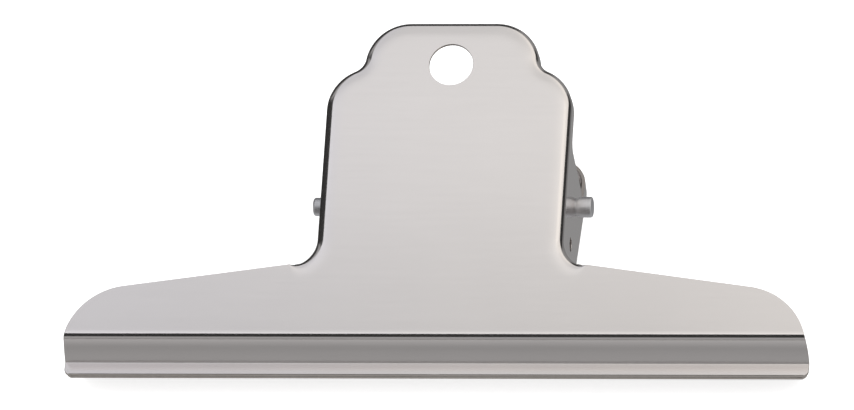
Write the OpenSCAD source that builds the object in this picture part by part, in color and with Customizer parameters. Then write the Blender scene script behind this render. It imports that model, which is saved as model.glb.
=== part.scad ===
// Bulldog clip with a wide jaw and a shouldered handle on each side.
// The clip lies on its rear plate: X runs along the jaw, Y from the jaw lips to the handle tops, Z up.
// The origin is on the outer face of the rear plate, straight below the pivot axis.
// A plate is drawn lying on its outer face. The front plate is the same pressing, mirrored in the
// middle plane of the clip, which holds the pivot axis and the line where the lips meet.

/* [Sheet] */
// Thickness of the plated steel sheet
sheet_t = 0.6; // [0.4:0.05:0.8]
// Outer radius of the bend between a handle face and its rim
rim_bend_r = 1.0; // [0.9:0.1:1.5]
// Tilt of each plate away from the middle plane, degrees
spread_a = 11; // [8:0.5:13]

/* [Jaw] */
// Width of the clip along its lips
jaw_w = 125; // [100:1:160]
// Distance from the pivot axis to the crease above the jaw, along the plate
crease_reach = 28.4; // [26:0.2:32]
// Distance from the pivot axis to the top of the flat lip, along the middle plane
lip_reach = 31.9; // [31:0.1:36]
// Height of the flat lip that grips the paper
lip_h = 2.3; // [1.5:0.1:4]
// Corner radius at each end of a lip
lip_corner_r = 1.0; // [0.5:0.1:1.4]
// Outer radius of the sharp crease between the plate and the jaw band
crease_r = 0.9; // [0.8:0.05:1.2]
// Outer radius of the hollow bend between the jaw band and the lip
lip_bend_r = 0.5; // [0.3:0.05:0.7]
// Depth of the hollow in the jaw band
band_hollow = 0.3; // [0.1:0.05:0.5]

/* [Wings] */
// How much the rear plate is trimmed all round its wings and jaw
rear_trim = 1.3; // [0:0.1:2]
// Slope of the wing tops below level, degrees
wing_a = 8.1; // [5:0.1:12]
// Height of a wing top above the crease, where its line crosses the side of the handle
wing_h = 13.5; // [12:0.1:15]
// Radius of the wing tips
wing_tip_r = 11.5; // [8:0.5:12]
// Radius of the hollow corner between handle and wing
wing_fillet_r = 5; // [4:0.25:6]

/* [Handle] */
// Height of a handle top above the crease, along the plate
handle_h = 57.2; // [55:0.2:64]
// Width across the shoulders of the front handle
handle_w = 41.4; // [36:0.2:50]
// Width across the neck of the front handle
neck_w = 29.4; // [26:0.2:31]
// Height of the shoulders' widest point above the crease
shoulder_h = 41.6; // [41:0.2:43]
// Radius of the shoulders
shoulder_r = 7.5; // [6.5:0.1:8]
// Radius of the two top corners
top_r = 7.5; // [6.5:0.1:8]
// Radius of the hollow between a top corner and a shoulder
neck_fillet_r = 3; // [2:0.25:4]
// Depth of the rim behind the handle face
rim_depth = 4; // [3:0.1:5]
// Radius of the hanging hole
hang_hole_r = 3.7; // [2.5:0.1:4]
// Height of the hanging hole above the crease
hang_hole_h = 49.2; // [48:0.2:50]

/* [Ears] */
// Distance from the outer face of a plate to the pivot axis
pivot_depth = 11.8; // [11:0.1:14]
// Reach of an ear above the pivot axis
ear_above = 5.8; // [5:0.1:7]
// Reach of an ear behind the pivot axis
ear_behind = 5.4; // [4.8:0.1:6]
// Distance from the pivot axis down to the lower rear corner of an ear
ear_below = 8; // [7:0.2:10]
// Radius of the upper rear corner of an ear
ear_top_r = 2.5; // [1:0.25:4]
// Radius of the lower rear corner of an ear
ear_low_r = 4; // [2:0.25:5]
// Radius of the small pierced hole in each ear
ear_hole_r = 1.2; // [0.8:0.1:1.4]
// Distance of the small pierced hole below the pivot axis
ear_hole_below = 8.4; // [7.5:0.1:9]
// Distance of the small pierced hole in front of the middle plane
ear_hole_front = 1.2; // [0:0.1:2]
// Free space between the front ears and the rear ears inside them
ear_gap = 0.06; // [0.04:0.01:0.15]

/* [Pivot pin] */
// Diameter of the pivot pin
pin_d = 2.8; // [2.4:0.1:3.2]
// Free space between the pin and each hole, on the radius
pin_clearance = 0.05; // [0.03:0.01:0.08]
// Length of the pin's head outside the front ear
head_l = 2.9; // [2:0.1:3.5]
// Largest diameter of the flared head
head_d = 3.5; // [3.3:0.1:4.2]
// Length of the shallow cone that ends the head
head_cone_l = 0.5; // [0.2:0.1:0.8]
// Length of the peened end outside the other front ear
peen_l = 2.8; // [2:0.1:3.5]
// Diameter of the peened end
peen_d = 3.1; // [3:0.05:3.6]
// Edge radius of the peened end
peen_r = 0.8; // [0.4:0.1:1]

/* [Spring] */
// Diameter of the spring wire
wire_d = 1.8; // [1.4:0.1:2]
// Free space between the pin and the coil, on the radius
coil_clearance = 0.5; // [0.3:0.1:0.8]
// Full curls in the coil
curls = 9; // [6:1:12]
// Free space between neighbouring curls
curl_gap = 0.6; // [0.45:0.05:0.9]
// Length of each straight leg, from the coil to its end
leg_l = 21; // [16:0.5:24]
// Free space between a leg and the handle that it presses
leg_gap = 0.1; // [0.05:0.05:0.3]
// Rings of the wire in one curl
rings_per_curl = 8; // [8:1:16]
// Sides of the wire
wire_sides = 6; // [6:1:8]

/* [Hidden] */
$fn = 64;

// Hairline of free space between the closed lips
lip_gap = 0.04;
// Overrun of every cut, and lap of pieces of one sheet
over = 0.2;
// How far the arc of a wing tip stands out past the two edges that it joins, so that it crosses them
tip_lift = 0.03;
// Steps along a rounded corner of an outline, and along the bend of the rim
corner_steps = 10;
bend_steps = 5;
// Least radius inside the bend of the rim, where the bend fades
inner_bend_least_r = 0.05;

// Places along a plate are counted from the pivot axis
crease_y = -crease_reach;
top_y = crease_y + handle_h;
shoulder_y = crease_y + shoulder_h;
hang_hole_y = crease_y + hang_hole_h;
pin_hole_r = pin_d / 2 + pin_clearance;

// Unit vector, turn of a vector and points of an arc
function unit(v) = v / norm(v);
function turned(v, a) = [v.x * cos(a) - v.y * sin(a), v.x * sin(a) + v.y * cos(a)];
function on_circle(c, r, a) = c + r * [cos(a), sin(a)];
function arc(c, r, from, to, last = corner_steps) =
    [for (i = [0 : last]) on_circle(c, r, from + (to - from) * i / corner_steps)];
function mirrored(points) = [
    for (i = [len(points) - 1 : -1 : 0])
        [-points[i].x, each [for (j = [1 : len(points[i]) - 1]) points[i][j]]]
];

// Turn at the middle one of three points, and the arc of radius r that rounds it
function turn_at(p, q, s) =
    let (a = unit(q - p), b = unit(s - q)) atan2(a.x * b.y - a.y * b.x, a * b);
function rounded(p, q, s, r) =
    let (
        a = unit(q - p),
        turn = turn_at(p, q, s),
        start = q - a * r * tan(abs(turn) / 2),
        spoke = sign(turn) * r * [a.y, -a.x]
    )
    [for (i = [0 : corner_steps]) start - spoke + turned(spoke, turn * i / corner_steps)];
// The corner q of a line p, q, s, moved to the line that lies d to its right
function corner_beside(p, q, s, d) =
    let (m = unit(q - p), n = unit(s - q), sum = [m.y + n.y, -m.x - n.x])
    q + sum * d / (1 + m * n);

// A point given by its place along the middle plane and its distance from it, in the Y and Z of a plate
function from_middle(along, aside) = [
    along * cos(spread_a) + aside * sin(spread_a),
    pivot_depth + along * sin(spread_a) - aside * cos(spread_a)
];

// Centres of the arcs of the handle outline, and the angles at which they meet
top_c = [neck_w / 2 - top_r, top_y - top_r];
shoulder_c = [handle_w / 2 - shoulder_r, shoulder_y];
neck_way = shoulder_c - top_c;
// Sides of the triangle between these two centres and the centre of the hollow neck
top_side = top_r + neck_fillet_r;
shoulder_side = shoulder_r + neck_fillet_r;
neck_turn =
    atan2(neck_way.y, neck_way.x)
    + acos((top_side ^ 2 + neck_way * neck_way - shoulder_side ^ 2) / (2 * top_side * norm(neck_way)));
neck_c = on_circle(top_c, top_side, neck_turn);
shoulder_turn = atan2(neck_c.y - shoulder_c.y, neck_c.x - shoulder_c.x);
// Height of the wing top at a distance from the middle, on a plate trimmed all round its wings
function wing_top(x, trim) =
    crease_y + wing_h - (x - handle_w / 2) * tan(wing_a) - trim / cos(wing_a);
function wing_c(smaller, trim) =
    let (side = handle_w / 2 - smaller)
        [side + wing_fillet_r, wing_top(side, trim) + wing_fillet_r * tan(45 - wing_a / 2)];
function tip_c(trim) =
    let (side = jaw_w / 2 - trim)
        [side - wing_tip_r, wing_top(side, trim) - wing_tip_r * tan(45 - wing_a / 2)];

// Section of the rim: flat lap, bend and upright wall, each place as its inset and its depth.
// The bend keeps its radius round the handle and fades to a share of it where the rim runs out on a wing.
bend_end_share = 0.3;
function bend_share(i) = 1 - (1 - bend_end_share) * (i / corner_steps) ^ 4;
function bend(r, inset) = [
    for (i = [0 : bend_steps])
        let (a = 90 * i / bend_steps) [inset + r * (1 - sin(a)), inset + r * (1 - cos(a))]
];
function reversed(list) = [for (i = [len(list) - 1 : -1 : 0]) list[i]];
function rim_places(share) =
    let (
        outer_r = rim_bend_r * share,
        inner_r = max(outer_r - sheet_t, inner_bend_least_r),
        lap_end = max(outer_r, sheet_t + inner_r) + over
    )
    concat(
        [[lap_end, 0]],
        bend(outer_r, 0),
        [[0, wall_h], [sheet_t, wall_h]],
        reversed(bend(inner_r, sheet_t)),
        [[lap_end, sheet_t]]
    );
// Place in the section where the flat of the plate meets the bend
flat_place = 1;

// Right half of the handle, moved inward to a place of the rim section, as points with their depth.
// Arcs that meet share their end point, and the rim ends sunk into the flat of the wing.
function handle_half(smaller, trim, place) =
    let (at = rim_places(1)[place], inward = smaller + at.x)
    concat(
        [
            for (p = concat(
                arc(top_c, top_r - inward, 90, neck_turn, corner_steps - 1),
                arc(neck_c, neck_fillet_r + inward, neck_turn + 180, shoulder_turn + 180, corner_steps - 1),
                arc(shoulder_c, shoulder_r - inward, shoulder_turn, 0)
            ))
                [p.x, p.y, at.y]
        ],
        [
            for (i = [0 : corner_steps])
                let (
                    here = rim_places(bend_share(i))[place],
                    a = 180 + (90 - wing_a) * i / corner_steps,
                    sunk = i < corner_steps ? 0 : over,
                    p = on_circle(wing_c(smaller, trim), wing_fillet_r + here.x + sunk, a)
                )
                [p.x, p.y, here.y]
        ]
    );
// Flat part of a plate, up to where the rim starts to bend, with its wing tips still square
function flat_half(smaller, trim) =
    let (side = jaw_w / 2 - trim, bend_line = handle_half(smaller, trim, flat_place))
    concat(
        [for (i = [0 : len(bend_line) - 2]) [bend_line[i].x, bend_line[i].y]],
        [
            on_circle(wing_c(smaller, trim), wing_fillet_r, 270 - wing_a),
            [side, wing_top(side, trim)],
            [side, crease_y]
        ]
    );

// Side view of rim and ear: what is left of the upright walls of a plate
ear_top_front = from_middle(ear_above, pivot_depth);
ear_top_rear = from_middle(ear_above, -ear_behind);
ear_low_rear = from_middle(-ear_below, -ear_behind);
ear_foot = [crease_y + wing_h + wing_fillet_r / 3, rim_depth * 3 / 4];
wall_foot = [crease_y + wing_h - sheet_t, sheet_t];
// Place where the top edge of an ear leaves the edge of the rim
ear_rise_y =
    ear_top_rear.x + (ear_top_front.x - ear_top_rear.x)
    * (ear_top_rear.y - rim_depth) / (ear_top_rear.y - ear_top_front.y);
side_view = concat(
    [[top_y + over, -over], [top_y + over, rim_depth]],
    rounded([top_y, rim_depth], [ear_rise_y, rim_depth], ear_top_rear, rim_depth / 2),
    rounded([ear_rise_y, rim_depth], ear_top_rear, ear_low_rear, ear_top_r),
    rounded(ear_top_rear, ear_low_rear, ear_foot, ear_low_r),
    [ear_foot, wall_foot, [crease_y, sheet_t], [crease_y, -over]]
);
wall_h = max([for (p = side_view) p.y]) + over;
places = len(rim_places(1));

// Jaw section: outer face from the plate over the crease and the hollow band to the end of the lip
lip_out = lip_gap / 2 + sheet_t;
plate_end = [crease_y + crease_r + over, 0];
crease = [crease_y, 0];
lip_top = from_middle(-lip_reach, lip_out);
lip_end = from_middle(-lip_reach - lip_h, lip_out);
band_dir = unit(lip_top - crease);
band_mid = (crease + lip_top) / 2 + band_hollow * [band_dir.y, -band_dir.x];
jaw_line = [plate_end, crease, band_mid, lip_top, lip_end];
// Radius that rounds the hollow band over most of its length
band_r = norm(lip_top - crease) / 3 / tan(abs(turn_at(crease, band_mid, lip_top)) / 2);
jaw_radii = [crease_r, band_r, lip_bend_r];
// Corners and radii of the inner face, one sheet further in
function inner_corner(i) = corner_beside(jaw_line[i - 1], jaw_line[i], jaw_line[i + 1], sheet_t);
inner_line = [
    plate_end + [0, sheet_t],
    inner_corner(1),
    inner_corner(2),
    inner_corner(3),
    from_middle(-lip_reach - lip_h, lip_gap / 2)
];
function inner_radius(i) =
    jaw_radii[i - 1] + sign(turn_at(jaw_line[i - 1], jaw_line[i], jaw_line[i + 1])) * sheet_t;
outer_face = concat(
    [jaw_line[0]],
    [for (i = [1 : 3]) each rounded(jaw_line[i - 1], jaw_line[i], jaw_line[i + 1], jaw_radii[i - 1])],
    [jaw_line[4]]
);
inner_face = concat(
    [inner_line[0]],
    [for (i = [1 : 3]) each rounded(inner_line[i - 1], inner_line[i], inner_line[i + 1], inner_radius(i))],
    [inner_line[4]]
);
jaw_section = concat(outer_face, [for (i = [len(inner_face) - 1 : -1 : 0]) inner_face[i]]);

// Rim swept round the handle, from one wing to the other
module rim(smaller, trim) {
    rows = [
        for (k = [0 : places - 1])
            let (right = handle_half(smaller, trim, k)) concat(mirrored(right), right)
    ];
    stops = len(rows[0]);
    cap_places = places / 2 - 2;
    polyhedron(
        [for (row = rows) each row],
        concat(
            [
                for (k = [0 : places - 1], i = [0 : stops - 2], half = [0, 1])
                    let (a = k * stops + i, b = (k + 1) % places * stops + i)
                        half == 0 ? [a, a + 1, b] : [a + 1, b + 1, b]
            ],
            [
                for (j = [0 : cap_places], end = [0, 1], half = [0, 1])
                    let (
                        i = end * (stops - 1),
                        a = j * stops + i,
                        b = a + stops,
                        c = (places - 1 - j) * stops + i,
                        d = c - stops,
                        face = half == 0 ? [a, b, c] : [b, d, c]
                    )
                    end == 0 ? face : [face[0], face[2], face[1]]
            ]
        )
    );
}

// Rounds the wing tips, down past the crease and over the jaw band
module tip_cuts(trim) {
    c = tip_c(trim) + [tip_lift, tip_lift];
    side = jaw_w / 2 - trim;
    for (turned_over = [0, 1])
        mirror([turned_over, 0, 0]) translate([0, 0, -over]) linear_extrude(pivot_depth) difference() {
            polygon([
                c,
                on_circle(c, wing_tip_r + over, 0),
                [side + over, wing_top(side, trim) + over],
                on_circle(c, wing_tip_r + over, 90 - wing_a)
            ]);
            translate(c) circle(wing_tip_r);
        }
}

// Rounds the lower corners of the lip at both ends of the jaw
module lip_corner_cuts(jaw_l) {
    for (side = [-1, 1])
        translate([side * (jaw_l / 2 - lip_corner_r), 0, pivot_depth])
            rotate([spread_a, 0, 0])
                translate([0, -lip_reach - lip_h + lip_corner_r, -sheet_t - lip_gap])
                    linear_extrude(sheet_t + 2 * lip_gap) difference() {
                        translate([side > 0 ? 0 : -lip_corner_r - over, -lip_corner_r - over])
                            square([lip_corner_r + over, lip_corner_r + over]);
                        circle(lip_corner_r);
                    }
}

// Extrudes a view from the side, drawn in Y and Z, to a length centred on the middle of the clip
module along_jaw(length)
    translate([length / 2, 0, 0]) rotate([90, 0, -90]) mirror([1, 0, 0]) linear_extrude(length) children();

// Hole through both ears at a place in the side view
module ear_bore(place, r, length)
    translate([-length / 2, place.x, place.y]) rotate([0, 90, 0]) cylinder(r = r, h = length);

// One plate of the clip, lying on its outer face: smaller by an inset round its handle, and
// trimmed round its wings and jaw
module plate(smaller, trim) {
    half = flat_half(smaller, trim);
    jaw_l = jaw_w - 2 * trim;
    ears_l = handle_w + 2 * (wing_fillet_r + over);
    difference() {
        union() {
            linear_extrude(sheet_t) polygon(concat(half, mirrored(half)));
            intersection() {
                rim(smaller, trim);
                along_jaw(ears_l) polygon(side_view);
            }
            along_jaw(jaw_l) polygon(jaw_section);
        }
        translate([0, hang_hole_y, -over]) cylinder(r = hang_hole_r, h = sheet_t + 2 * over);
        ear_bore([0, pivot_depth], pin_hole_r, ears_l);
        ear_bore(from_middle(-ear_hole_below, ear_hole_front), ear_hole_r, ears_l);
        tip_cuts(trim);
        lip_corner_cuts(jaw_l);
    }
}

// Turns a plate over the middle plane of the clip
module across_middle()
    translate([0, 0, pivot_depth])
        rotate([2 * spread_a, 0, 0])
            mirror([0, 0, 1])
                translate([0, 0, -pivot_depth]) children();

module front_plate() color("#d3d0ce") across_middle() plate(0, 0);

module rear_plate() color("#c4c2c0") plate(sheet_t + ear_gap, rear_trim);

// Pin with a flared head outside one front ear and a peened end outside the other
module pivot_pin() {
    shaft_l = handle_w + 2 * ear_gap;
    head_grow_l = head_l - head_cone_l;
    color("#a9a9ac")
        translate([-shaft_l / 2, 0, pivot_depth])
            rotate([0, 90, 0]) {
                cylinder(d = pin_d, h = shaft_l);
                translate([0, 0, shaft_l]) cylinder(d1 = pin_d, d2 = head_d, h = head_grow_l);
                translate([0, 0, shaft_l + head_grow_l])
                    cylinder(d1 = head_d, d2 = head_d - 2 * head_cone_l, h = head_cone_l);
                rotate_extrude() {
                    translate([0, peen_r - peen_l]) square([peen_d / 2, peen_l - peen_r]);
                    translate([0, -peen_l]) square([peen_d / 2 - peen_r, peen_r]);
                    intersection() {
                        translate([peen_d / 2 - peen_r, peen_r - peen_l]) circle(peen_r);
                        translate([0, -peen_l]) square([peen_d / 2, peen_r]);
                    }
                }
            }
}

// Spring wire: its centre line runs up one leg, round the curls and out along the other leg
coil_r = pin_d / 2 + coil_clearance + wire_d / 2;
pitch = wire_d + curl_gap;
// A leg is tangent to the coil and ends with the wire against the sheet
leg_rise = pivot_depth - sheet_t - leg_gap - wire_d / 2;
leg_a = asin(leg_rise / norm([coil_r, leg_l])) - atan(coil_r / leg_l);
// Angle swept by the curls, from the rear leg round to the front leg
sweep_a = 360 * curls - 2 * leg_a - 2 * spread_a + 180;
coil_rings = ceil(sweep_a / 360 * rings_per_curl);
coil_w = pitch * sweep_a / 360;
// Place and direction on the helix, seen from the end of the pin, with the rear leg's root first
function coil_angle(i) = -90 - leg_a - sweep_a * i / coil_rings;
function coil_point(i) =
    [coil_w * (i / coil_rings - 1 / 2), coil_r * cos(coil_angle(i)), coil_r * sin(coil_angle(i))];
rear_way = [0, cos(leg_a), -sin(leg_a)];
front_way = [0, cos(leg_a + 2 * spread_a), sin(leg_a + 2 * spread_a)];
wire_line = concat(
    [coil_point(0) + leg_l * rear_way],
    [for (i = [0 : coil_rings]) coil_point(i)],
    [coil_point(coil_rings) + leg_l * front_way]
);
wire_last = len(wire_line) - 1;
function way(i) = unit(wire_line[min(i + 1, wire_last)] - wire_line[max(i - 1, 0)]);
function spoke(i) = unit(cross([1, 0, 0], way(i)));
wire_points = [
    for (i = [0 : wire_last], k = [0 : wire_sides - 1])
        let (a = 360 * k / wire_sides, u = spoke(i), v = cross(way(i), u))
            wire_line[i] + wire_d / 2 * (u * cos(a) + v * sin(a))
];
wire_faces = concat(
    [for (k = [1 : wire_sides - 2]) [0, k, k + 1]],
    [
        for (i = [0 : wire_last - 1], k = [0 : wire_sides - 1], half = [0, 1])
            let (a = i * wire_sides + k, b = i * wire_sides + (k + 1) % wire_sides)
                half == 0 ? [a, a + wire_sides, b] : [b, a + wire_sides, b + wire_sides]
    ],
    [
        for (k = [1 : wire_sides - 2])
            let (a = wire_last * wire_sides) [a, a + k + 1, a + k]
    ]
);
// Least free space between one curl and the next, measured on points of the centre line
curl_space = min([
    for (i = [0 : coil_rings - rings_per_curl])
        norm(coil_point(i + rings_per_curl) - coil_point(i)) - wire_d
]);
echo(least_gap_between_curls = curl_space);

module torsion_spring()
    color("#8e8c8b") translate([0, 0, pivot_depth]) polyhedron(wire_points, wire_faces);

front_plate();
rear_plate();
pivot_pin();
torsion_spring();
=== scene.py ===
import math

import bmesh
import bpy
from mathutils import Matrix, Vector


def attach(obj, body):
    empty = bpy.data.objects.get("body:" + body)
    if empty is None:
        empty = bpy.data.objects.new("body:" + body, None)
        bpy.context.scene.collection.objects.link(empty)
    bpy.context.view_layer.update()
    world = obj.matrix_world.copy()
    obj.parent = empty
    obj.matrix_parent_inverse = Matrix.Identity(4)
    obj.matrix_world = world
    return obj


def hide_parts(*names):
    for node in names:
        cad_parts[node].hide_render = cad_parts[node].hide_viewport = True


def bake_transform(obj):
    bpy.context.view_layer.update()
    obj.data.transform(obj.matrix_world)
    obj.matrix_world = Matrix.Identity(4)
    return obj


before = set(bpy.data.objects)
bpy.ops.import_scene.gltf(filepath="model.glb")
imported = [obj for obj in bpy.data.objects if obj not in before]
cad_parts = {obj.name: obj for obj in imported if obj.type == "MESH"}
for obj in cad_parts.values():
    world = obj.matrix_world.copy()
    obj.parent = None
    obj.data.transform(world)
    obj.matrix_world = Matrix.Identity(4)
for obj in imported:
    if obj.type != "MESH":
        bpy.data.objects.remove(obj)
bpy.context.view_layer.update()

# The two plates: pressings of 0.6 mm steel sheet, nickel plated after they are pressed.
# Each is blanked, its handle edge is turned up into a rim with two ears, and its long lower
# edge is folded over a sharp crease into a hollow band and a flat lip. Both turn on the pin.
sheet = 0.6
bend_r = 1.45
least_bend_r = 0.05
spread = math.radians(11)
pivot_z = 11.8

jaw_w = 125
crease_y = -28.4
lip_reach = 31.9
lip_h = 2.3
lip_corner_r = 1.0
lip_gap = 0.04
crease_r = 1.3
lip_bend_r = 0.1
band_hollow = 0.3

wing_a = math.radians(8.1)
wing_h = 13.5
tip_r = 11.5
fillet_r = 5

handle_w = 41.4
neck_w = 29.4
top_y = crease_y + 57.2
shoulder_y = crease_y + 41.6
shoulder_r = 7.5
top_r = 7.5
neck_r = 3
rim_h = 4
hole_r = 3.7
hole_y = crease_y + 49.2

pin_hole_r = 1.45
ear_hole_r = 1.2
ear_gap = 0.06
rear_trim = 1.3

# Places on the ear, along the middle plane from the pin and away from that plane
ear_top = 5.8
ear_low = -8
ear_back = -5.4
ear_top_r = 2.5
ear_low_r = 4
ear_hole = (-8.4, 1.2)

# The rear lip is this much shorter than the front one at each end
lip_end_trim = 0.3

# A narrow row of faces beside each bend keeps the flat face flat right up to it
edge_row = 0.12
# The press draws the sheet down a little before a bend: how far out this starts, and how steep
# it gets
draw_in = 2.6
draw_a = math.radians(8)


def on_circle(centre, radius, angle):
    return Vector((centre[0] + radius * math.cos(angle), centre[1] + radius * math.sin(angle)))


def from_middle(along, aside):
    """A place in the side view of a plate, given along the middle plane and away from it."""
    return Vector((
        along * math.cos(spread) + aside * math.sin(spread),
        pivot_z + along * math.sin(spread) - aside * math.cos(spread),
    ))


def drawn_rows(steps=7):
    """How far from the true bend and how deep the dipping sheet is, and its depth at the bend."""
    depth = math.tan(draw_a) * draw_in / 3
    return [(draw_in * (1 - i / steps), depth * (i / steps) ** 3) for i in range(steps)], depth


def turn_at(before, corner, after):
    a, b = (corner - before).normalized(), (after - corner).normalized()
    return math.atan2(a.x * b.y - a.y * b.x, a.dot(b))


def rounded(before, corner, after, radius, steps):
    """The arc that rounds one corner of a bent line, as points."""
    a = (corner - before).normalized()
    turn = turn_at(before, corner, after)
    start = corner - a * radius * math.tan(abs(turn) / 2)
    spoke = math.copysign(radius, turn) * Vector((a.y, -a.x))
    return [start - spoke + Matrix.Rotation(turn * i / steps, 2) @ spoke for i in range(steps + 1)]


def beside(before, corner, after, distance):
    """The corner of a bent line, moved to the line that runs beside it."""
    m, n = (corner - before).normalized(), (after - corner).normalized()
    return corner + Vector((m.y + n.y, -m.x - n.x)) * distance / (1 + m.dot(n))


# Side view of the upright wall: rim, ear, and the foot that runs out on the wing
ear_top_front = from_middle(ear_top, pivot_z)
ear_top_rear = from_middle(ear_top, ear_back)
ear_low_rear = from_middle(ear_low, ear_back)
ear_foot = Vector((crease_y + wing_h + fillet_r / 3, rim_h * 3 / 4))
wall_foot = Vector((crease_y + wing_h - sheet, sheet))
rise = (ear_top_rear.y - rim_h) / (ear_top_rear.y - ear_top_front.y)
ear_rise = Vector((ear_top_rear.x + (ear_top_front.x - ear_top_rear.x) * rise, rim_h))
wall_top = (
    [Vector((top_y, rim_h))]
    + rounded(Vector((top_y, rim_h)), ear_rise, ear_top_rear, rim_h / 2, 8)
    + rounded(ear_rise, ear_top_rear, ear_low_rear, ear_top_r, 14)
    + rounded(ear_top_rear, ear_low_rear, ear_foot, ear_low_r, 14)
    + [ear_foot, wall_foot, Vector((crease_y, sheet))]
)


def wall_height(y):
    """Height of the wall below the ear, where it falls steadily to the wing."""
    for a, b in zip(wall_top[-4:], wall_top[-3:]):
        if a.x >= y >= b.x:
            return a.y + (b.y - a.y) * (a.x - y) / (a.x - b.x)
    return sheet if y < wall_foot.x else rim_h


# Section of the jaw: the outer face over the crease, the hollow band and the lip, and the inner
# face beside it
lip_top = from_middle(-lip_reach, lip_gap / 2 + sheet)
lip_end = from_middle(-lip_reach - lip_h, lip_gap / 2 + sheet)
crease = Vector((crease_y, 0))
band_way = (lip_top - crease).normalized()
band_mid = (crease + lip_top) / 2 + band_hollow * Vector((band_way.y, -band_way.x))
jaw_line = [Vector((crease_y + 3, 0)), crease, band_mid, lip_top, lip_end]
band_r = (lip_top - crease).length / 3 / math.tan(abs(turn_at(crease, band_mid, lip_top)) / 2)
inner_line = (
    [Vector((crease_y + 3, sheet))]
    + [beside(*jaw_line[i - 1:i + 2], sheet) for i in (1, 2, 3)]
    + [from_middle(-lip_reach - lip_h, lip_gap / 2)]
)
jaw_turns = [math.copysign(sheet, turn_at(*jaw_line[i - 1:i + 2])) for i in (1, 2, 3)]
# The lip's corner is rounded in steps of this many degrees
corner_steps = range(0, 91, 15)


def jaw_rows(line, growth):
    """Rows of a jaw face, from the flat of the plate to the end of the lip.

    growth is 0 for the outer face and 1 for the inner one, whose bends are wider or tighter by
    the sheet.
    """
    rows = []
    for i, radius, steps in ((1, crease_r, 8), (2, band_r, 12), (3, lip_bend_r, 7)):
        arc = rounded(line[i - 1], line[i], line[i + 1], radius + growth * jaw_turns[i - 1], steps)
        before = (line[i - 1] - line[i]).normalized() * edge_row
        after = (line[i + 1] - line[i]).normalized() * edge_row
        if i == 1:
            # The flat dips towards the crease
            dip, depth = drawn_rows()
            down = Vector((0, line[0].y + depth - arc[1].y))
            rows += [Vector((arc[1].x + d, line[0].y + z)) for d, z in dip]
            rows += [p + down for p in arc[1:]] + [arc[-1] + after + down]
        else:
            rows += [arc[0] + before] + arc + [arc[-1] + after]
    lip_way = (line[3] - line[4]).normalized()
    drops = [lip_corner_r * (1 - math.sin(math.radians(a))) for a in corner_steps]
    return rows + [line[4] + lip_way * drop for drop in drops]


def handle_line(smaller, trim):
    """Half the edge of a handle: places on it, the way inward, and how much is left of the bend."""
    side = handle_w / 2 - smaller
    top = Vector((neck_w / 2 - top_r, top_y - top_r))
    shoulder = Vector((handle_w / 2 - shoulder_r, shoulder_y))
    way = shoulder - top
    a, b = top_r + neck_r, shoulder_r + neck_r
    neck_turn = math.atan2(way.y, way.x) + math.acos(
        (a * a + way.dot(way) - b * b) / (2 * a * way.length)
    )
    neck = on_circle(top, a, neck_turn)
    out = neck - shoulder
    shoulder_turn = math.atan2(out.y, out.x)
    wing_y = wing_line(side, trim) + fillet_r * math.tan(math.pi / 4 - wing_a / 2)
    wing = Vector((side + fillet_r, wing_y))
    line = [(Vector((top.x * i / 4, top_y - smaller)), Vector((0, -1)), 1) for i in range(4)]
    for centre, radius, start, end, steps, hollow in (
        (top, top_r - smaller, math.pi / 2, neck_turn, 20, -1),
        (neck, neck_r + smaller, neck_turn + math.pi, shoulder_turn + math.pi, 14, 1),
        (shoulder, shoulder_r - smaller, shoulder_turn, 0, 20, -1),
    ):
        if hollow > 0:
            start, end = start % (2 * math.pi), end % (2 * math.pi)
        for i in range(steps):
            angle = start + (end - start) * i / steps
            line.append((on_circle(centre, radius, angle), hollow * on_circle((0, 0), 1, angle), 1))
    first_side = len(line)
    side_steps, fillet_steps = 14, 24
    for i in range(side_steps + 1):
        y = shoulder_y + (wing.y - shoulder_y) * i / side_steps
        line.append((Vector((side, y)), Vector((-1, 0)), 1))
    last_side = len(line) - 1
    # Round the fillet the bend stays nearly whole, and runs out just before the wing
    for i in range(1, fillet_steps + 1):
        angle = math.pi + (math.pi / 2 - wing_a) * i / fillet_steps
        share = 1 - (i / fillet_steps) ** 8
        line.append((on_circle(wing, fillet_r, angle), on_circle((0, 0), 1, angle), share))
    return line, first_side, last_side


def wing_line(x, trim):
    """Height of the wing's upper edge."""
    return crease_y + wing_h - (x - handle_w / 2) * math.tan(wing_a) - trim / math.cos(wing_a)


def piece_from(bm, name):
    """An object at the origin, in metres, from a mesh that was built in millimetres."""
    bm.transform(Matrix.Scale(0.001, 4))
    bmesh.ops.recalc_face_normals(bm, faces=bm.faces)
    for f in bm.faces:
        f.smooth = True
    mesh = bpy.data.meshes.new(name)
    bm.to_mesh(mesh)
    bm.free()
    piece = bpy.data.objects.new(name, mesh)
    bpy.context.scene.collection.objects.link(piece)
    return piece


def soften_edges(piece, name, width, least_angle):
    edge = piece.modifiers.new(name, "BEVEL")
    edge.width = width
    edge.segments = 2
    edge.limit_method = "ANGLE"
    edge.angle_limit = math.radians(least_angle)
    edge.use_clamp_overlap = False
    edge.harden_normals = True


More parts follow.
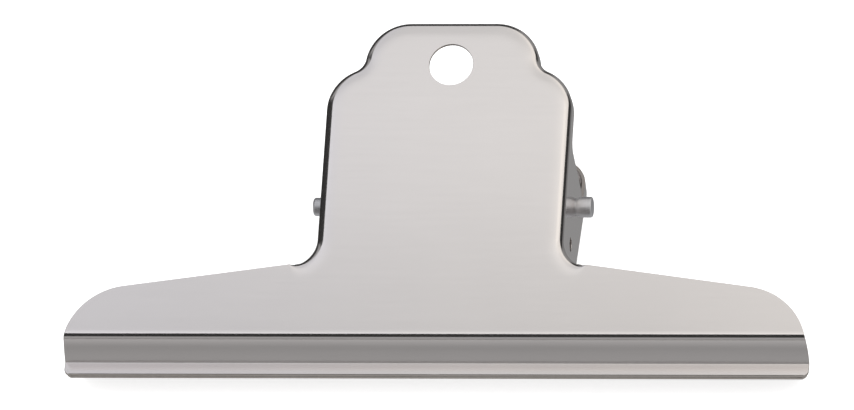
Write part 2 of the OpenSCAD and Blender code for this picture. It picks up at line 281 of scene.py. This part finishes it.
def pressed_plate(name, smaller, trim, turned_over):
    """One plate: smaller is taken off each side of its handle, and trim off wings and jaw ends."""
    bm = bmesh.new()
    spots = {}

    def spot(x, y, z):
        key = (round(x, 5), round(y, 5), round(z, 5))
        if key not in spots:
            spots[key] = bm.verts.new((x, y, z))
        return spots[key]

    def face(*corners, cut=0):
        ring = []
        for corner in corners:
            if corner not in ring:
                ring.append(corner)
        if len(ring) > 2 and not bm.faces.get(ring):
            bm.faces.new(ring).material_index = cut

    def skin(grid, skip=()):
        for i, (a, b) in enumerate(zip(grid, grid[1:])):
            for k in range(len(a) - 1):
                if (i, k) not in skip:
                    face(a[k], a[k + 1], b[k + 1], b[k])

    # Rim: for each place on the handle edge a column of spots over the bend and up the wall
    line, first_side, last_side = handle_line(smaller, trim)
    outer, inner = [], []
    for i, (place, inward, share) in enumerate(line):
        height = wall_height(place.y) if i > last_side else rim_h
        r = bend_r * share
        for columns, inset, radius in ((outer, 0, r), (inner, sheet, max(r - sheet, least_bend_r))):
            dip, depth = drawn_rows()
            start_a = draw_a * share
            bend_start = inset + radius * (1 - math.sin(start_a))
            profile = [(bend_start + d, inset + z * share ** 2) for d, z in dip]
            for k in range(11):
                a = start_a + (math.pi / 2 - start_a) * k / 10
                profile.append((
                    inset + radius * (1 - math.sin(a)),
                    inset + depth * share ** 2 + radius * (math.cos(start_a) - math.cos(a)),
                ))
            profile += [(inset, inset + depth * share ** 2 + radius + edge_row), (inset, height)]
            columns.append([
                spot(*(place + inward * d), min(z, height)) for d, z in profile
            ])
    last = len(outer[0]) - 1
    side_faces = {(i, last - 1) for i in range(first_side, last_side)}
    skin(outer, side_faces)
    skin(inner, side_faces)

    # Ear: the flat side of the wall, with the pin hole and a small pressing hole
    side = handle_w / 2 - smaller
    hole_sides = 40
    foot_y = line[last_side][0].y
    edge = [p for p in wall_top if foot_y < p.x < shoulder_y]
    outer[last_side][last].co.z = inner[last_side][last].co.z = wall_height(foot_y)
    small_hole = from_middle(*ear_hole)
    rims = []
    for columns, x in ((outer, side), (inner, side - sheet)):
        top_ring = [spot(x, *p) for p in edge]
        top_ring = [columns[first_side][last]] + top_ring + [columns[last_side][last]]
        low_ring = [columns[i][last - 1] for i in range(first_side, last_side + 1)]
        rings = [top_ring + low_ring[::-1]]
        for centre, radius in ((Vector((0, pivot_z)), pin_hole_r), (small_hole, ear_hole_r)):
            rings.append([
                spot(x, *on_circle(centre, radius, 2 * math.pi * i / hole_sides))
                for i in range(hole_sides)
            ])
        edges = []
        for ring in rings:
            for a, b in zip(ring, ring[1:] + ring[:1]):
                edges.append(bm.edges.get((a, b)) or bm.edges.new((a, b)))
        bmesh.ops.triangle_fill(bm, use_beauty=True, edges=edges, normal=(1, 0, 0))
        rims.append((top_ring, rings[1], rings[2]))
    for a, b in zip(rims[0][1:], rims[1][1:]):
        for i in range(hole_sides):
            face(a[i], a[i - 1], b[i - 1], b[i])

    # Cut edge along the top of the wall
    outer_top, inner_top = (
        [c[last] for c in columns[:first_side]] + ear[0] + [c[last] for c in columns[last_side + 1:]]
        for columns, ear in zip((outer, inner), rims)
    )
    for a, b, c, d in zip(outer_top, outer_top[1:], inner_top[1:], inner_top):
        face(a, b, c, d, cut=1)

    # Jaw: rows across the clip, each ending on the round wing tip or at the side
    edge_x = jaw_w / 2 - trim
    tip_y = wing_line(edge_x, trim) - tip_r * math.tan(math.pi / 4 - wing_a / 2)
    tip = Vector((edge_x - tip_r, tip_y))
    across = 30

    def row_end(y):
        return tip.x + math.sqrt(tip_r ** 2 - (y - tip.y) ** 2) if y > tip.y else edge_x

    faces_of_jaw = []
    for rows in (jaw_rows(jaw_line, 0), jaw_rows(inner_line, 1)):
        grid = []
        for k, row in enumerate(rows):
            # The rear jaw widens towards its lip, so that it ends just short of the front one
            way_down = (row.y - rows[0].y) / (rows[-1].y - rows[0].y)
            end = row_end(row.x) + max(trim - lip_end_trim, 0) * way_down
            drop = (row - rows[-1]).length
            if k >= len(rows) - len(corner_steps):
                rounding = max(0, lip_corner_r ** 2 - (lip_corner_r - drop) ** 2)
                end -= lip_corner_r - math.sqrt(rounding)
            grid.append([spot(end * j / across, *row) for j in range(across + 1)])
        skin(grid)
        faces_of_jaw.append(grid)
    for k in range(len(faces_of_jaw[0]) - 1):
        a, b = faces_of_jaw
        face(a[k][-1], a[k + 1][-1], b[k + 1][-1], b[k][-1], cut=1)
    for j in range(across):
        a, b = faces_of_jaw[0][-1], faces_of_jaw[1][-1]
        face(a[j], a[j + 1], b[j + 1], b[j], cut=1)

    # Flat of the plate, one face inside and one outside, and the cut edges of wing and hole
    borders = []
    hole_steps = 32
    for columns, grid, z in ((outer, faces_of_jaw[0], 0), (inner, faces_of_jaw[1], sheet)):
        start = line[-1][0]
        start_a = math.pi / 2 - wing_a
        end_a = math.asin((grid[0][-1].co.y - tip.y) / tip_r)
        to_tip = on_circle(tip, tip_r, start_a)
        wing = [spot(*start.lerp(to_tip, i / 8), z) for i in range(8)]
        wing += [
            spot(*on_circle(tip, tip_r, start_a + (end_a - start_a) * i / 30), z) for i in range(30)
        ]
        wing.append(grid[0][-1])
        half_turn = [math.pi * i / hole_steps for i in range(hole_steps + 1)]
        hole = [spot(hole_r * math.sin(a), hole_y - hole_r * math.cos(a), z) for a in half_turn]
        run = [c[0] for c in columns] + (columns[-1][1:] if z else columns[-1][1:-2])
        face(*run, *wing, *grid[0][::-1], *hole)
        borders.append((wing, hole))
    corner = outer[-1][last - 1]
    a, b = borders[0][0], borders[1][0]
    face(a[0], corner, b[0], b[1], a[1], cut=1)
    for i in range(1, len(a) - 1):
        face(a[i], a[i + 1], b[i + 1], b[i], cut=1)
    a, b = borders[0][1], borders[1][1]
    for i in range(hole_steps):
        face(a[i], a[i + 1], b[i + 1], b[i], cut=1)

    # The other half, then the place in the clip
    copy = bmesh.ops.duplicate(bm, geom=bm.verts[:] + bm.edges[:] + bm.faces[:])["geom"]
    copied_spots = [g for g in copy if isinstance(g, bmesh.types.BMVert)]
    bmesh.ops.scale(bm, vec=(-1, 1, 1), verts=copied_spots)
    bmesh.ops.remove_doubles(bm, verts=bm.verts, dist=0.0005)
    if turned_over:
        lift = Matrix.Translation((0, 0, pivot_z))
        over = Matrix.Rotation(2 * spread, 4, "X") @ Matrix.Scale(-1, 4, (0, 0, 1))
        bm.transform(lift @ over @ lift.inverted())
    plate = piece_from(bm, name)
    soften_edges(plate, "tumbled_edges", 0.00008, 50)
    return plate


def socket(tree, name, kind, way, value=None):
    made = tree.interface.new_socket(name, in_out=way, socket_type="NodeSocket" + kind)
    if value is not None:
        made.default_value = value


def node(tree, kind, links=None, **settings):
    """A node with its settings, and each named or numbered input set or linked."""
    made = tree.nodes.new(kind)
    for key, value in settings.items():
        setattr(made, key, value)
    for key, value in (links or {}).items():
        if isinstance(value, bpy.types.NodeSocket):
            tree.links.new(value, made.inputs[key])
        else:
            made.inputs[key].default_value = value
    return made


def math_node(tree, operation, *values, clamp=False):
    made = node(
        tree, "ShaderNodeMath", dict(enumerate(values)), operation=operation, use_clamp=clamp,
    )
    return made.outputs[0]


def rise(tree, value, start, end, low, high):
    """A value that goes from low to high while another goes from start to end."""
    made = node(tree, "ShaderNodeMapRange", {"Value": value, 1: start, 2: end, 3: low, 4: high})
    return made.outputs[0]


# Fine lines that the rolls leave along the sheet: long in X, narrow across it
rolling_lines = bpy.data.node_groups.new("rolling_lines", "ShaderNodeTree")
socket(rolling_lines, "Place", "Vector", "INPUT")
socket(rolling_lines, "Lines", "Float", "INPUT", 4000)
socket(rolling_lines, "Length", "Float", "INPUT", 60)
socket(rolling_lines, "Tone", "Float", "OUTPUT")
socket(rolling_lines, "Height", "Float", "OUTPUT")
start = rolling_lines.nodes.new("NodeGroupInput")
finish = rolling_lines.nodes.new("NodeGroupOutput")
parts = node(rolling_lines, "ShaderNodeSeparateXYZ", {0: start.outputs["Place"]})
stretched = node(rolling_lines, "ShaderNodeCombineXYZ", {
    0: math_node(rolling_lines, "MULTIPLY", parts.outputs[0], start.outputs["Length"]),
    1: math_node(rolling_lines, "MULTIPLY", parts.outputs[1], start.outputs["Lines"]),
    2: math_node(rolling_lines, "MULTIPLY", parts.outputs[2], start.outputs["Lines"]),
})
fine = node(rolling_lines, "ShaderNodeTexNoise", {
    "Vector": stretched.outputs[0], "Scale": 1, "Detail": 3, "Roughness": 0.6,
})
broad_place = node(
    rolling_lines, "ShaderNodeVectorMath",
    {0: stretched.outputs[0], 1: (0.35, 0.12, 0.12)}, operation="MULTIPLY",
)
broad = node(rolling_lines, "ShaderNodeTexNoise", {
    "Vector": broad_place.outputs[0], "Scale": 1, "Detail": 2, "Roughness": 0.5,
})
tone = math_node(
    rolling_lines, "ADD",
    math_node(rolling_lines, "MULTIPLY", fine.outputs[0], 0.5),
    math_node(rolling_lines, "MULTIPLY", broad.outputs[0], 0.5),
)
rolling_lines.links.new(tone, finish.inputs["Tone"])
rolling_lines.links.new(fine.outputs[0], finish.inputs["Height"])

# Faint clouding of the plating and the soft marks of handling
handling = bpy.data.node_groups.new("handling_marks", "ShaderNodeTree")
socket(handling, "Place", "Vector", "INPUT")
socket(handling, "Size", "Float", "INPUT", 90)
socket(handling, "Cloud", "Float", "OUTPUT")
socket(handling, "Marks", "Float", "OUTPUT")
start = handling.nodes.new("NodeGroupInput")
finish = handling.nodes.new("NodeGroupOutput")
cloud = node(handling, "ShaderNodeTexNoise", {
    "Vector": start.outputs["Place"], "Scale": start.outputs["Size"],
    "Detail": 2, "Roughness": 0.5,
})
grit = node(handling, "ShaderNodeTexNoise", {
    "Vector": start.outputs["Place"],
    "Scale": math_node(handling, "MULTIPLY", start.outputs["Size"], 9),
    "Detail": 4, "Roughness": 0.65,
})
marks = rise(handling, grit.outputs[0], 0.58, 0.74, 0, 1)
handling.links.new(cloud.outputs[0], finish.inputs["Cloud"])
handling.links.new(marks, finish.inputs["Marks"])


def metal(name, light, dark, roughness, lines, length, bump, spread_of_roughness):
    """Plated or drawn metal: colour between two tones, with its own fine lines and marks."""
    material = bpy.data.materials.new(name)
    material.use_nodes = True
    tree = material.node_tree
    shader = tree.nodes["Principled BSDF"]
    place = tree.nodes.new("ShaderNodeTexCoord").outputs["Object"]
    rolled = node(tree, "ShaderNodeGroup", node_tree=rolling_lines)
    worn = node(tree, "ShaderNodeGroup", node_tree=handling)
    tree.links.new(place, rolled.inputs["Place"])
    tree.links.new(place, worn.inputs["Place"])
    rolled.inputs["Lines"].default_value = lines
    rolled.inputs["Length"].default_value = length
    blend = math_node(
        tree, "ADD",
        math_node(tree, "MULTIPLY", rolled.outputs["Tone"], 0.7),
        math_node(tree, "MULTIPLY", worn.outputs["Cloud"], 0.3),
    )
    tone = rise(tree, blend, 0.3, 0.7, 0, 1)
    colour = node(
        tree, "ShaderNodeMix", {0: tone, 6: (*dark, 1), 7: (*light, 1)}, data_type="RGBA",
    )
    tree.links.new(colour.outputs[2], shader.inputs["Base Color"])
    shader.inputs["Metallic"].default_value = 1
    half_tone = math_node(tree, "MULTIPLY", rolled.outputs["Tone"], 0.5)
    wear = math_node(tree, "ADD", worn.outputs["Marks"], half_tone)
    rough = rise(tree, wear, 0, 1.5, roughness, roughness + spread_of_roughness)
    tree.links.new(rough, shader.inputs["Roughness"])
    bumps = node(tree, "ShaderNodeBump", {
        "Height": rolled.outputs["Height"], "Strength": bump, "Distance": 0.00002,
    })
    tree.links.new(bumps.outputs[0], shader.inputs["Normal"])
    return material


plate_metal = metal(
    "nickel_plate", light=(0.825, 0.79, 0.777), dark=(0.795, 0.761, 0.748),
    roughness=0.13, lines=9000, length=220, bump=0.1, spread_of_roughness=0.08,
)
cut_metal = metal(
    "cut_edge", light=(0.60, 0.555, 0.52), dark=(0.48, 0.44, 0.41),
    roughness=0.38, lines=3000, length=3000, bump=0.2, spread_of_roughness=0.15,
)
front_plate = pressed_plate("front_pressing", smaller=0, trim=0, turned_over=True)
rear_plate = pressed_plate(
    "rear_pressing", smaller=sheet + ear_gap, trim=rear_trim, turned_over=False,
)
for plate, solid, body in (
    (front_plate, "front_plate", "front"),
    (rear_plate, "rear_plate", "rear"),
):
    plate.data.materials.append(plate_metal)
    plate.data.materials.append(cut_metal)
    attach(plate, body)
    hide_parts(solid)


# Pivot pin: turned from steel rod, plated. Its right end is a head that flares outside the ear,
# and its left end is upset over the other ear, so the pin can't slide out.
pin_r = 1.4
pin_sides = 56
shaft_end = handle_w / 2 + ear_gap
head_l = 2.9
head_r = 1.75
head_round_r = 0.35
upset_l = 2.8
upset_r = 1.55
upset_round_r = 0.45


def around_pin(x, r):
    """A ring of spots around the pin's axis, or one spot on it."""
    sides = pin_sides if r else 1
    angles = [2 * math.pi * i / sides for i in range(sides)]
    return [bm.verts.new((x, r * math.cos(a), pivot_z + r * math.sin(a))) for a in angles]


# From the head's end face inwards: how far out from the ear, and the radius there
head = [(head_l, 0), (head_l, 0.95), (head_l - 0.03, 1.2), (head_l - 0.12, 1.38)]
for a in (15, 35, 55, 75, 90):
    head.append((
        head_l - 0.1 - head_round_r + head_round_r * math.cos(math.radians(a)),
        head_r - head_round_r + head_round_r * math.sin(math.radians(a)),
    ))
head += [(1.7, head_r), (1.1, head_r - 0.02), (0.7, 1.69), (0.4, 1.6), (0.2, 1.46), (0, pin_r)]
upset = [(0, pin_r), (0, upset_r), (0.12, upset_r)]
for a in range(0, 91, 15):
    upset.append((
        upset_l - upset_round_r + upset_round_r * math.sin(math.radians(a)),
        upset_r - upset_round_r + upset_round_r * math.cos(math.radians(a)),
    ))
upset += [(upset_l, 0.6), (upset_l, 0)]

bm = bmesh.new()
rings = [around_pin(shaft_end + out, r) for out, r in head]
shaft_places = (20, 18, 12, 6, 0, -6, -12, -18, -20)
rings += [around_pin(x, pin_r) for x in shaft_places]
rings += [around_pin(-shaft_end - out, r) for out, r in upset]
for a, b in zip(rings, rings[1:]):
    for i in range(pin_sides):
        corners = [a[i % len(a)], a[(i + 1) % len(a)], b[(i + 1) % len(b)], b[i % len(b)]]
        bm.faces.new(list(dict.fromkeys(corners)))
pin = piece_from(bm, "hinge_pin")
soften_edges(pin, "turned_edges", 0.00006, 40)
pin.data.materials.append(metal(
    "turned_pin", light=(0.80, 0.805, 0.83), dark=(0.70, 0.70, 0.72),
    roughness=0.48, lines=900, length=9000, bump=0.2, spread_of_roughness=0.1,
))
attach(pin, "rear")
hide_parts("pivot_pin")


# Torsion spring: 1.8 mm spring wire, coiled about nine times round the pin between the ears.
# One straight leg presses each handle outward, which holds the jaw shut.
wire_r = 0.9
coil_clearance = 0.5
coil_r = pin_r + coil_clearance + wire_r
curls = 9
pitch = 2.4
leg_l = 21
leg_gap = 0.1
leg_rise = pivot_z - sheet - leg_gap - wire_r
leg_a = math.asin(leg_rise / math.hypot(coil_r, leg_l)) - math.atan(coil_r / leg_l)
sweep = 2 * math.pi * curls + math.pi - 2 * leg_a - 2 * spread
coil_w = pitch * sweep / (2 * math.pi)

winding = bpy.data.node_groups.new("wound_wire", "GeometryNodeTree")
socket(winding, "Geometry", "Geometry", "INPUT")
for name, value in (
    ("Coil radius", coil_r), ("Coil width", coil_w), ("Wire radius", wire_r), ("Sweep", sweep),
    ("Leg angle", leg_a), ("Leg length", leg_l), ("Opening angle", 2 * spread),
    ("Pin height", pivot_z),
):
    socket(winding, name, "Float", "INPUT", value)
socket(winding, "Wire", "Material", "INPUT")
socket(winding, "Geometry", "Geometry", "OUTPUT")
start = winding.nodes.new("NodeGroupInput")
finish = winding.nodes.new("NodeGroupOutput")
given = start.outputs
leg_points, coil_points = 24, 380


def calc(operation, *values, clamp=False):
    return math_node(winding, operation, *values, clamp=clamp)


# The wire's centre line: leg_points along the rear leg, coil_points round the curls and
# leg_points along the front leg
points = node(winding, "GeometryNodeMeshLine", {"Count": coil_points + 2 * leg_points + 1})
line = node(winding, "GeometryNodeMeshToCurve", {0: points.outputs[0]})
index = node(winding, "GeometryNodeInputIndex").outputs[0]
step = calc("SUBTRACT", index, leg_points)
share = calc("DIVIDE", step, coil_points, clamp=True)
angle = calc(
    "SUBTRACT",
    calc("SUBTRACT", -math.pi / 2, given["Leg angle"]),
    calc("MULTIPLY", given["Sweep"], share),
)
rear_run = calc("DIVIDE", calc("MULTIPLY", step, -1), leg_points, clamp=True)
front_run = calc("DIVIDE", calc("SUBTRACT", step, coil_points), leg_points, clamp=True)
front_a = calc("ADD", given["Leg angle"], given["Opening angle"])
rear_out = calc("MULTIPLY", rear_run, given["Leg length"])
front_out = calc("MULTIPLY", front_run, given["Leg length"])
wire_x = calc("MULTIPLY", calc("SUBTRACT", share, 0.5), given["Coil width"])
wire_y = calc(
    "ADD",
    calc("MULTIPLY", given["Coil radius"], calc("COSINE", angle)),
    calc("ADD",
         calc("MULTIPLY", rear_out, calc("COSINE", given["Leg angle"])),
         calc("MULTIPLY", front_out, calc("COSINE", front_a))),
)
wire_z = calc(
    "ADD",
    calc("ADD", given["Pin height"], calc("MULTIPLY", given["Coil radius"], calc("SINE", angle))),
    calc("SUBTRACT",
         calc("MULTIPLY", front_out, calc("SINE", front_a)),
         calc("MULTIPLY", rear_out, calc("SINE", given["Leg angle"]))),
)
where = node(winding, "ShaderNodeCombineXYZ", {0: wire_x, 1: wire_y, 2: wire_z})
placed = node(winding, "GeometryNodeSetPosition", {
    "Geometry": line.outputs[0], "Position": where.outputs[0],
})
round_wire = node(winding, "GeometryNodeCurvePrimitiveCircle", {
    "Resolution": 16, "Radius": given["Wire radius"],
})
tube = node(winding, "GeometryNodeCurveToMesh", {
    "Curve": placed.outputs[0], "Profile Curve": round_wire.outputs[0], "Fill Caps": True,
})
smooth = node(winding, "GeometryNodeSetShadeSmooth", {"Geometry": tube.outputs[0]})
to_metres = node(winding, "GeometryNodeTransform", {
    "Geometry": smooth.outputs[0], "Scale": (0.001, 0.001, 0.001),
})
real = node(winding, "GeometryNodeRealizeInstances", {0: to_metres.outputs[0]})
painted = node(winding, "GeometryNodeSetMaterial", {
    "Geometry": real.outputs[0], "Material": given["Wire"],
})
winding.links.new(painted.outputs[0], finish.inputs[0])

wire_metal = metal(
    "spring_wire", light=(0.42, 0.405, 0.395), dark=(0.33, 0.32, 0.312),
    roughness=0.28, lines=2500, length=2500, bump=0.3, spread_of_roughness=0.2,
)
holder = bpy.data.objects.new("winding", bpy.data.meshes.new("winding"))
bpy.context.scene.collection.objects.link(holder)
wound = holder.modifiers.new("wound_wire", "NODES")
wound.node_group = winding
for item in winding.interface.items_tree:
    if item.item_type == "SOCKET" and item.in_out == "INPUT" and item.name == "Wire":
        wound[item.identifier] = wire_metal
seen = holder.evaluated_get(bpy.context.evaluated_depsgraph_get())
mesh = bpy.data.meshes.new_from_object(seen)
mesh.name = "torsion_coil"
bpy.data.objects.remove(holder)
spring = bpy.data.objects.new("torsion_coil", mesh)
bpy.context.scene.collection.objects.link(spring)
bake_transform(spring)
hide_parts("torsion_spring")


# Floor, light and camera: a pale floor under the clip, a grey tent with black flags that only
# the metal reflects, a soft box above it, and a long lens, so that the view has next to no
# perspective.
floor_z = -0.0002
floor_mesh = bpy.data.meshes.new("floor")
floor_mesh.from_pydata(
    [(-3, -3, floor_z), (3, -3, floor_z), (3, 3, floor_z), (-3, 3, floor_z)], [], [(0, 1, 2, 3)],
)
floor = bpy.data.objects.new("floor", floor_mesh)
bpy.context.scene.collection.objects.link(floor)
floor.visible_glossy = False
floor_paint = bpy.data.materials.new("floor_paint")
floor_paint.use_nodes = True
tree = floor_paint.node_tree
shader = tree.nodes["Principled BSDF"]
shader.inputs["Base Color"].default_value = (0.86, 0.86, 0.86, 1)
shader.inputs["Roughness"].default_value = 1
shader.inputs["Specular IOR Level"].default_value = 0
path = tree.nodes.new("ShaderNodeLightPath")
seen_rays = math_node(
    tree, "MAXIMUM", path.outputs["Is Camera Ray"], path.outputs["Is Transmission Ray"],
)
floor_glow = 0.6
glow = node(tree, "ShaderNodeEmission", {
    "Strength": math_node(tree, "MULTIPLY", seen_rays, floor_glow),
})
both = node(tree, "ShaderNodeAddShader", {0: shader.outputs[0], 1: glow.outputs[0]})
tree.links.new(both.outputs[0], tree.nodes["Material Output"].inputs[0])
floor_mesh.materials.append(floor_paint)

# The tent: how bright it is from straight below, 0, to straight above, 1, with a darker band
# where the jaw's band and lip look
world = bpy.data.worlds.new("studio")
bpy.context.scene.world = world
world.use_nodes = True
tree = world.node_tree
tree.nodes.clear()
path = tree.nodes.new("ShaderNodeLightPath")
look = tree.nodes.new("ShaderNodeTexCoord").outputs["Generated"]
way = node(tree, "ShaderNodeSeparateXYZ", {0: look})
from_x, from_y, from_z = way.outputs
tent = node(tree, "ShaderNodeValToRGB", {0: rise(tree, from_z, -1, 1, 0, 1)})
stops = (
    (0, 0.5), (0.16, 0.47), (0.228, 0.3), (0.265, 0.33),
    (0.315, 0.35), (0.45, 0.38), (0.55, 0.45), (1, 0.5),
)
ramp = tent.color_ramp
while len(ramp.elements) < len(stops):
    ramp.elements.new(0.5)
for element, (position, value) in zip(ramp.elements, stops):
    element.position = position
    element.color = (value, value, value, 1)
behind = rise(tree, from_y, 0, 0.6, 1, 0.62)
studio = math_node(tree, "MULTIPLY", tent.outputs[0], behind)
# Black flags: a slanting strip at the left, and round ones at the right, in front and behind.
# Each round one has the way to its middle, and the angles where it is full and where it ends.
strip_slope, strip_middle = 0.43, 0.42
slant = math_node(tree, "ADD", from_y, math_node(tree, "MULTIPLY", from_z, strip_slope))
off_strip = math_node(tree, "ABSOLUTE", math_node(tree, "SUBTRACT", slant, strip_middle))
flag = math_node(
    tree, "MULTIPLY",
    rise(tree, from_x, -0.35, -0.5, 0, 1),
    rise(tree, off_strip, 0.2, 0.14, 0, 1),
)
round_flags = (
    ((0.92, 0.38, 0.08), 20, 27),
    ((-0.13, -0.84, 0.53), 27, 34),
    ((-0.13, 0.93, 0.35), 19, 26),
    ((-0.55, 0.78, 0.2), 19, 25),
)
for middle_way, full_a, end_a in round_flags:
    toward_flag = node(
        tree, "ShaderNodeVectorMath",
        {0: look, 1: Vector(middle_way).normalized()}, operation="DOT_PRODUCT",
    ).outputs[1]
    round_flag = rise(
        tree, toward_flag, math.cos(math.radians(end_a)), math.cos(math.radians(full_a)), 0, 1,
    )
    flag = math_node(tree, "MAXIMUM", flag, round_flag)
flag_black = 0.03
studio = node(tree, "ShaderNodeMix", {0: flag, 2: studio, 3: flag_black}).outputs[0]
# Only glossy rays see tent and flags. Camera and transmission rays see plain white.
for_metal = node(
    tree, "ShaderNodeMix",
    {0: path.outputs["Is Glossy Ray"], 6: (0.95, 0.95, 0.95, 1), 7: studio}, data_type="RGBA",
).outputs[2]
clear_view = math_node(
    tree, "MAXIMUM", path.outputs["Is Camera Ray"], path.outputs["Is Transmission Ray"],
)
shown = node(
    tree, "ShaderNodeMix", {0: clear_view, 6: for_metal, 7: (1, 1, 1, 1)}, data_type="RGBA",
).outputs[2]
sky = node(tree, "ShaderNodeBackground", {"Color": shown, "Strength": 1})
out = node(tree, "ShaderNodeOutputWorld")
tree.links.new(sky.outputs[0], out.inputs[0])

# Soft box over the clip: brightest above the handle and at its near edge, cool at its left end
# and warm at its right end
box_left, box_right = -0.165, 0.5
box_near, box_far = -0.24, 0.3
box_z = 0.26
card_mesh = bpy.data.meshes.new("soft_box")
card_mesh.from_pydata(
    [
        (box_left, box_near, box_z), (box_right, box_near, box_z),
        (box_right, box_far, box_z), (box_left, box_far, box_z),
    ],
    [], [(0, 3, 2, 1)],
)
soft_box = bpy.data.objects.new("soft_box", card_mesh)
bpy.context.scene.collection.objects.link(soft_box)
soft_box.visible_camera = False
soft_box.visible_diffuse = False
soft_box.visible_shadow = False
box_light = bpy.data.materials.new("soft_box_light")
box_light.use_nodes = True
tree = box_light.node_tree
tree.nodes.clear()
hot_y = 0.017
hot_level = 0.855
least_level = 0.7
fall_rate = 125
box_place = tree.nodes.new("ShaderNodeTexCoord").outputs["Object"]
box_x, box_y, _ = node(tree, "ShaderNodeSeparateXYZ", {0: box_place}).outputs
off = math_node(tree, "SUBTRACT", box_y, hot_y)
fall = math_node(tree, "MULTIPLY", math_node(tree, "MULTIPLY", off, off), fall_rate)
hot = math_node(tree, "MAXIMUM", math_node(tree, "SUBTRACT", hot_level, fall), least_level)
near_glow = rise(tree, box_y, -0.08, -0.14, 0, 0.2)
hot = math_node(tree, "ADD", hot, near_glow)
brighter_right = rise(tree, box_x, -0.1, 0.03, -0.03, 0.035)
right_glow = rise(tree, box_x, 0, 0.12, 0, 0.2)
left_glow = rise(tree, box_x, -0.08, -0.15, 0, 0.08)
level = math_node(
    tree, "ADD",
    math_node(tree, "ADD", hot, brighter_right),
    math_node(tree, "ADD", right_glow, left_glow),
)
box_ramp = node(tree, "ShaderNodeValToRGB", {0: rise(tree, box_x, -0.1, 0.12, 0, 1)})
tints = ((0, (0.975, 0.985, 1.03)), (0.3, (1, 1, 1)), (1, (1.02, 0.99, 0.94)))
while len(box_ramp.color_ramp.elements) < len(tints):
    box_ramp.color_ramp.elements.new(0.5)
for element, (position, colour) in zip(box_ramp.color_ramp.elements, tints):
    element.position = position
    element.color = (*colour, 1)
box_glow = node(tree, "ShaderNodeEmission", {"Color": box_ramp.outputs[0], "Strength": level})
tree.links.new(box_glow.outputs[0], node(tree, "ShaderNodeOutputMaterial").inputs[0])
card_mesh.materials.append(box_light)

# A round lamp high above, which the metal doesn't show
lamp = bpy.data.lights.new("roof_lamp", "AREA")
lamp.shape = "DISK"
lamp.size = 0.8
lamp.energy = 4
roof_lamp = bpy.data.objects.new("roof_lamp", lamp)
roof_lamp.location = (0.35, -0.1, 1.2)
roof_lamp.rotation_euler = Vector(roof_lamp.location).to_track_quat("Z", "Y").to_euler()
roof_lamp.visible_glossy = False
roof_lamp.visible_camera = False
bpy.context.scene.collection.objects.link(roof_lamp)

# Camera angles were fitted to the outline in the photograph, in a frame that leans by lean from
# the floor, as the clip's middle plane does. The middle of the pin is at pin_px in the picture.
frame_w_px, frame_h_px = 854, 410
pin_px = (453.24, 207.06)
px_per_mm = 5.989
lens_mm = 800
sensor_mm = 36
turn, tilt, roll, lean = (math.radians(a) for a in (10.78, -34.07, 6.135, 11))
frame_x = Vector((1, 0, 0))
frame_w = Vector((0, math.sin(lean), -math.cos(lean)))
frame_v = Vector((0, math.cos(lean), math.sin(lean)))


def in_frame(x, w, v):
    return frame_x * x + frame_w * w + frame_v * v


toward = Vector((math.sin(turn) * math.cos(tilt), -math.cos(turn) * math.cos(tilt), math.sin(tilt)))
right = Vector((math.cos(turn), math.sin(turn), 0))
up = toward.cross(right)
view_right = math.cos(roll) * right + math.sin(roll) * up
view_up = -math.sin(roll) * right + math.cos(roll) * up
toward, view_right, view_up = in_frame(*toward), in_frame(*view_right), in_frame(*view_up)
back = view_right.cross(view_up)
middle = (
    Vector((0, 0, pivot_z))
    + view_right * (frame_w_px / 2 - pin_px[0]) / px_per_mm
    + view_up * (pin_px[1] - frame_h_px / 2) / px_per_mm
)
camera_data = bpy.data.cameras.new("camera")
camera_data.lens = lens_mm
camera_data.sensor_width = sensor_mm
camera_data.clip_start = 0.1
camera_data.clip_end = 50
distance = lens_mm * (frame_w_px / px_per_mm) / sensor_mm * 0.001
camera = bpy.data.objects.new("camera", camera_data)
place = Matrix((view_right, view_up, back)).transposed().to_4x4()
place.translation = middle * 0.001 + back * distance
camera.matrix_world = place
bpy.context.scene.collection.objects.link(camera)
bpy.context.scene.camera = camera
bpy.context.scene.view_settings.view_transform = "Standard"
